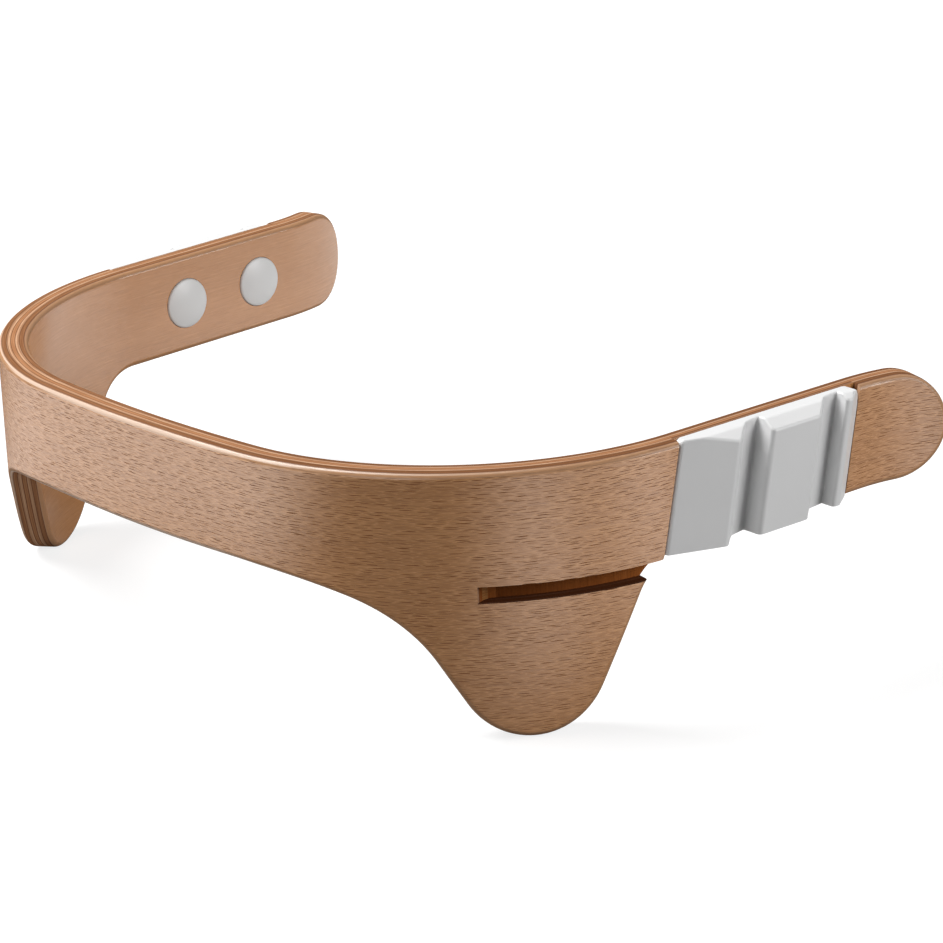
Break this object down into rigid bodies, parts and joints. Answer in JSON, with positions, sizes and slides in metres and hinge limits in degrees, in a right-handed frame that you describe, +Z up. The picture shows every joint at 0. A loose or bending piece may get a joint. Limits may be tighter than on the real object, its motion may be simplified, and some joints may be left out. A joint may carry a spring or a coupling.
{
  "type": "high chair safety bar",
  "caption": "Bow of bent beech plywood that closes the front of a wooden high chair, with grooved tabs under its bends and notched plastic catch plates on its arms.",
  "frame": {"origin": "under the middle of the overall box, level with the tips of the two tabs", "axes": "+Z up, +Y from the front of the bow towards the ends of its arms, +X to the right arm"},
  "size_m": [0.3218, 0.213, 0.088],
  "materials": {
    "long_grain_beech": "satin lacquer, grain along the bow",
    "cross_grain_beech": "satin lacquer, grain across the bow, so end grain shows at the edges",
    "plate_plastic": "fine satin",
    "cap_plastic": "satin",
    "screw_steel": "zinc plated",
    "washer_steel": "zinc plated"
  },
  "bodies": {
    "root": {"inner_face_veneer": "long_grain_beech", "inner_core_veneer": "long_grain_beech", "outer_core_veneer": "long_grain_beech", "outer_face_veneer": "long_grain_beech", "left_tip_face_veneer": "long_grain_beech", "right_tip_face_veneer": "long_grain_beech", "inner_cross_veneer": "cross_grain_beech", "centre_cross_veneer": "cross_grain_beech", "outer_cross_veneer": "cross_grain_beech", "left_tip_cross_veneer": "cross_grain_beech", "right_tip_cross_veneer": "cross_grain_beech", "left_catch_plate": "plate_plastic", "right_catch_plate": "plate_plastic", "left_front_cap": "cap_plastic", "left_rear_cap": "cap_plastic", "right_front_cap": "cap_plastic", "right_rear_cap": "cap_plastic", "left_front_screw": "screw_steel", "left_rear_screw": "screw_steel", "right_front_screw": "screw_steel", "right_rear_screw": "screw_steel", "left_front_washer": "washer_steel", "left_rear_washer": "washer_steel", "right_front_washer": "washer_steel", "right_rear_washer": "washer_steel"}
  },
  "joints": []
}
